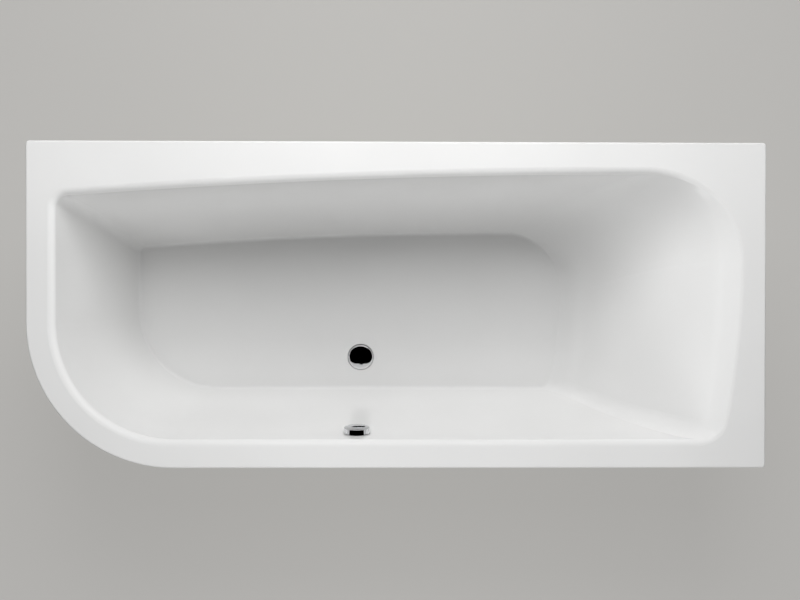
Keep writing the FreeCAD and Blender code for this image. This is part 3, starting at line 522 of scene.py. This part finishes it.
chrome_dark = (0.74, 0.75, 0.77)
chrome_light = (0.82, 0.82, 0.83)
chrome_cloud_scale = 70.0
chrome_cloud_detail = 3.0
water_mark_scale = 140.0
water_mark_detail = 5.0
chrome_roughness = (0.02, 0.085)
chrome, tree, shader, place = new_finish("polished_chrome")
shader.inputs["Metallic"].default_value = 1.0
clouds = mottle(tree, place, chrome_cloud_scale, chrome_cloud_detail)
coat(tree, shader, shades(tree, clouds, narrow_span, chrome_dark, chrome_light),
     between(tree, mottle(tree, place, water_mark_scale, water_mark_detail), chrome_roughness))
dress(chrome, "waste_flange", "overflow_rosette")

# Plug: a solid cap of turned and chromed brass over the drain, screwed on the stem above its seal.
# The top is a shallow dome, and a rolled border falls from it to a thin upright edge.


def sphere_rise(sphere, outer, inner):
    """How much higher a sphere is at the inner radius than at the outer one."""
    return math.sqrt(sphere ** 2 - inner ** 2) - math.sqrt(sphere ** 2 - outer ** 2)


def raise_dome(radius, sphere):
    """Turns the selected round face into a dome with the radius of the sphere."""
    dome_steps = 6
    step = radius / (dome_steps + 0.5)
    for count in range(dome_steps):
        bpy.ops.mesh.inset(thickness=step, depth=sphere_rise(sphere, radius, radius - step))
        radius -= step


plug_dome = 0.130
border_step = 0.0009
border_slopes = (43.0, 37.0, 31.0, 26.0, 20.0)
plug_edge_round = 0.0004
polished_sides = 96
hair = 0.00005
plug_low, plug_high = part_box("plug_cap")
plug_middle = (plug_low + plug_high) / 2
plug_radius = (plug_high[0] - plug_low[0]) / 2
dome_radius = plug_radius - border_step * len(border_slopes)
border_rises = [border_step * math.tan(math.radians(slope)) for slope in border_slopes]
edge_height = plug_high[2] - plug_low[2] - sphere_rise(plug_dome, dome_radius, 0.0) - sum(border_rises)
bpy.ops.object.select_all(action="DESELECT")
bpy.ops.mesh.primitive_cylinder_add(vertices=polished_sides, radius=plug_radius, depth=edge_height,
                                    location=(0.0, 0.0, edge_height / 2))
plug = bpy.context.object
plug.name = "chrome_plug"
apply_place()
pick(plug, "EDGE", lambda middle: middle.z < hair)
bpy.ops.mesh.bevel(offset=plug_edge_round, segments=2, affect="EDGES")
pick(plug, "FACE", lambda middle: middle.z > edge_height - hair)
for rise in border_rises:
    bpy.ops.mesh.inset(thickness=border_step, depth=rise)
raise_dome(dome_radius, plug_dome)
bpy.ops.object.mode_set(mode="OBJECT")
smooth()
plug.data.transform(Matrix.Translation((plug_middle[0], plug_middle[1], plug_low[2])))
plug.data.materials.append(chrome)
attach(plug, "plug")
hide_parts("plug_cap")

# Plug stem, spindle, lever pin and clip: bare turned brass and steel with fine lines from the lathe.
# The stem slides in the flange's hub, and the spindle turns the drum behind the overflow.


def lathe_finish(name, dark, light, line_scale):
    """Bare metal with turning lines across the axis that the line scale is finest along."""
    tone_scale = 180.0
    tone_detail = 3.0
    line_roughness = (0.16, 0.40)
    line_depth = 0.00003
    finish, tree, shader, place = new_finish(name)
    shader.inputs["Metallic"].default_value = 1.0
    lines = tree.nodes.new("ShaderNodeMapping")
    lines.inputs["Scale"].default_value = line_scale
    tree.links.new(place, lines.inputs["Vector"])
    cuts = mottle(tree, lines.outputs["Vector"], 1.0)
    coat(tree, shader, shades(tree, mottle(tree, place, tone_scale, tone_detail), even_span, dark, light),
         between(tree, cuts, line_roughness))
    relief(tree, shader, cuts, line_depth)
    return finish


brass_dark = (0.60, 0.43, 0.17)
brass_light = (0.76, 0.58, 0.28)
steel_dark = (0.52, 0.52, 0.52)
steel_light = (0.68, 0.68, 0.67)
lines_upright = (60.0, 60.0, 4200.0)
lines_level = (60.0, 4200.0, 60.0)
dress(lathe_finish("turned_stem_brass", brass_dark, brass_light, lines_upright), "plug_stem")
dress(lathe_finish("turned_spindle_brass", brass_dark, brass_light, lines_level), "overflow_spindle")
dress(lathe_finish("drawn_pin_steel", steel_dark, steel_light, lines_level), "lever_pin", "spindle_clip")

# Waste body, lever, trap and pipes: injection-moulded and extruded white polypropylene.
# Slightly waxy, with shallow flow marks and the fine grain of the mould.

waxy_dark = (0.70, 0.70, 0.68)
waxy_light = (0.79, 0.79, 0.775)
flow_mark_scale = 26.0
flow_mark_detail = 3.0
waxy_gloss_scale = 110.0
waxy_gloss_detail = 3.0
waxy_roughness = (0.30, 0.48)
waxy_grain_scale = 1400.0
waxy_grain_depth = 0.00005
white, tree, shader, place = new_finish("white_polypropylene")
flow_marks = mottle(tree, place, flow_mark_scale, flow_mark_detail)
coat(tree, shader, shades(tree, flow_marks, even_span, waxy_dark, waxy_light),
     between(tree, mottle(tree, place, waxy_gloss_scale, waxy_gloss_detail), waxy_roughness))
relief(tree, shader, mottle(tree, place, waxy_grain_scale), waxy_grain_depth)
dress(white, "waste_body", "lift_lever", "trap_cup", "outlet_pipe", "overflow_body", "overflow_pipe")

# Overflow screws: two plated pan-head screws through the rosette into the posts of the overflow body.
# They pull the rosette and the body together on both sides of the front wall, under the knob.

knob_joint = next(joint for joint in frame["record"]["behaviour"]["joints"] if joint["name"] == "knob_turn")
knob_axis = Vector(knob_joint["axis"]).normalized()
knob_spot = Vector(knob_joint["pos_m"])
rosette_top = 0.0045
rosette_head = (0.0038, 0.0022)
rosette_shank = (0.002, 0.0475)
screw_spread = 0.015
turn_by_side = 0.5
inward = (-knob_axis).to_track_quat("Z", "Y").to_matrix().to_4x4()
rosette_turns = []
for side in (-1, 1):
    spot = knob_spot + knob_axis * rosette_top + Vector((side * screw_spread, 0.0, 0.0))
    rosette_turns.append(Matrix.Translation(spot) @ inward @ Matrix.Rotation(turn_by_side * side, 4, "Z"))
rosette_screws = copies_at(cross_screw(*rosette_head, *rosette_shank), rosette_turns, "overflow_screw_set")
rosette_screws.data.materials.append(plated)
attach(rosette_screws, "tub")
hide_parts("overflow_screws")

# Knob: a hollow cap of turned and chromed brass, pushed on the spindle in front of the rosette.
# Its side narrows towards the front, the front edge is rounded and the front is slightly domed.

knob_radius = 0.032
knob_narrowing = 0.945
knob_rear = 0.0025
knob_front = 0.0145
knob_edge_round = 0.0016
knob_dome = 0.2
knob_wall = 0.002
boss_radius = 0.007
boss_end = 0.0075
bore_radius = 0.004
knob_ceiling = knob_front - knob_wall
bpy.ops.object.select_all(action="DESELECT")
bpy.ops.mesh.primitive_cylinder_add(vertices=polished_sides, radius=knob_radius, depth=knob_front - knob_rear,
                                    location=(0.0, 0.0, (knob_front + knob_rear) / 2))
knob = bpy.context.object
knob.name = "chrome_knob"
apply_place()
pick(knob, "FACE", lambda middle: middle.z > knob_front - hair)
narrow(knob_narrowing)
pick(knob, "EDGE", lambda middle: middle.z > knob_front - hair)
bpy.ops.mesh.bevel(offset=knob_edge_round, segments=5, affect="EDGES")
pick(knob, "FACE", lambda middle: middle.z > knob_front - hair)
raise_dome(knob_radius * knob_narrowing - knob_edge_round, knob_dome)
pick(knob, "FACE", lambda middle: middle.z < knob_rear + hair)
bpy.ops.mesh.inset(thickness=knob_wall)
pull(knob_ceiling - knob_rear)
narrow(knob_narrowing)
bpy.ops.mesh.inset(thickness=(knob_radius - knob_wall) * knob_narrowing - boss_radius)
pull(boss_end - knob_ceiling)
bpy.ops.mesh.inset(thickness=boss_radius - bore_radius)
pull(knob_ceiling - boss_end)
bpy.ops.object.mode_set(mode="OBJECT")
smooth()
outward = knob_axis.to_track_quat("Z", "Y").to_matrix().to_4x4()
knob.data.transform(Matrix.Translation(knob_spot) @ outward)
knob.data.materials.append(chrome)
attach(knob, "knob")
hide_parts("overflow_knob")

# Floor under the tub: a plain pale sheet, not part of the object.
# Part of its tone doesn't depend on the lamps, so it stays pale far away and still takes the tub's shadow.


def seen_or_mirrored(tree):
    """1 for what shows straight, in a mirror or through glass, and 0 for the light on other surfaces."""
    path = tree.nodes.new("ShaderNodeLightPath")
    seen = combined(tree, "MAXIMUM", path.outputs["Is Camera Ray"], path.outputs["Is Glossy Ray"])
    return combined(tree, "MAXIMUM", seen, path.outputs["Is Transmission Ray"])


floor_colour = (0.62, 0.61, 0.59)
floor_roughness = 0.9
floor_size = 40.0
floor_own_tone = 0.65
floor_own_strength = 0.8
bpy.ops.object.select_all(action="DESELECT")
bpy.ops.mesh.primitive_plane_add(size=floor_size)
floor = bpy.context.object
floor.name = "studio_floor"
paper, tree, shader, place = new_finish("pale_floor")
shader.inputs["Base Color"].default_value = (*floor_colour, 1.0)
shader.inputs["Roughness"].default_value = floor_roughness
own = tree.nodes.new("ShaderNodeEmission")
own.inputs["Color"].default_value = (*floor_colour, 1.0)
own.inputs["Strength"].default_value = floor_own_strength
both = tree.nodes.new("ShaderNodeMixShader")
tree.links.new(combined(tree, "MULTIPLY", seen_or_mirrored(tree), floor_own_tone), both.inputs[0])
tree.links.new(shader.outputs["BSDF"], both.inputs[1])
tree.links.new(own.outputs["Emission"], both.inputs[2])
tree.links.new(both.outputs["Shader"], tree.nodes["Material Output"].inputs["Surface"])
floor.data.materials.append(paper)

# Studio light: soft panels over the back and the front, which the chrome and the acrylic don't mirror,
# with a long strip over the back and a low panel at the front, in a room with pale walls and a dark ceiling.


def soft_lamp(name, rise, side, distance, width, height, power):
    """A rectangular lamp that faces the tub from an angle over the floor and a side, as a bearing from +X."""
    data = bpy.data.lights.new(name, "AREA")
    data.shape = "RECTANGLE"
    data.size = width
    data.size_y = height
    data.energy = power
    lamp = bpy.data.objects.new(name, data)
    bpy.context.scene.collection.objects.link(lamp)
    rise = math.radians(rise)
    side = math.radians(side)
    heading = Vector((math.cos(rise) * math.cos(side), math.cos(rise) * math.sin(side), math.sin(rise)))
    lamp.location = tub_middle + heading * distance
    lamp.rotation_euler = (-heading).to_track_quat("-Z", "Y").to_euler()
    return lamp


tub_middle = Vector((0.0, 0.0, 0.45))
behind = 90.0
before = 270.0
soft_lamp("lamp_strip", rise=44.0, side=behind, distance=3.0, width=3.4, height=0.46, power=10.0)
soft_lamp("lamp_front", rise=28.0, side=before, distance=3.0, width=2.4, height=1.2, power=13.5)
hidden_lamps = (
    soft_lamp("lamp_back", rise=48.0, side=behind, distance=2.4, width=1.5, height=1.5, power=38.5),
    soft_lamp("lamp_over", rise=64.0, side=behind, distance=3.0, width=1.6, height=1.6, power=22.4),
    soft_lamp("lamp_front_high", rise=40.0, side=before, distance=2.0, width=1.6, height=1.2, power=10.0))
for lamp in hidden_lamps:
    lamp.visible_glossy = False
room_shades = ((0.0, 0.40), (0.19, 0.42), (0.23, 0.60), (0.39, 0.60), (0.44, 0.0))
world = bpy.data.worlds.new("studio")
bpy.context.scene.world = world
world.use_nodes = True
tree = world.node_tree
upward = tree.nodes.new("ShaderNodeSeparateXYZ")
tree.links.new(tree.nodes.new("ShaderNodeTexCoord").outputs["Generated"], upward.inputs["Vector"])
room = tree.nodes.new("ShaderNodeValToRGB")
stops = room.color_ramp.elements
while len(stops) < len(room_shades):
    stops.new(1.0)
for stop, (height, shade) in zip(stops, room_shades):
    stop.position = height
    stop.color = (shade, shade, shade, 1.0)
tree.links.new(upward.outputs["Z"], room.inputs["Fac"])
tree.links.new(room.outputs["Color"], tree.nodes["Background"].inputs["Color"])

# Camera: straight above the tub, where the photograph was taken from.
# Its lens, place and small tilts were fitted to the outline of the rim.

camera_lens = 45.2
camera_sensor = 36.0
camera_place = (-0.0234, 0.0263, 2.9043)
camera_turn = (-0.0065, -0.0127, 0.0017)
camera_data = bpy.data.cameras.new("camera")
camera_data.lens = camera_lens
camera_data.sensor_width = camera_sensor
camera = bpy.data.objects.new("camera", camera_data)
bpy.context.scene.collection.objects.link(camera)
camera.location = camera_place
camera.rotation_euler = camera_turn
bpy.context.scene.camera = camera
bpy.context.scene.view_settings.view_transform = "Standard"
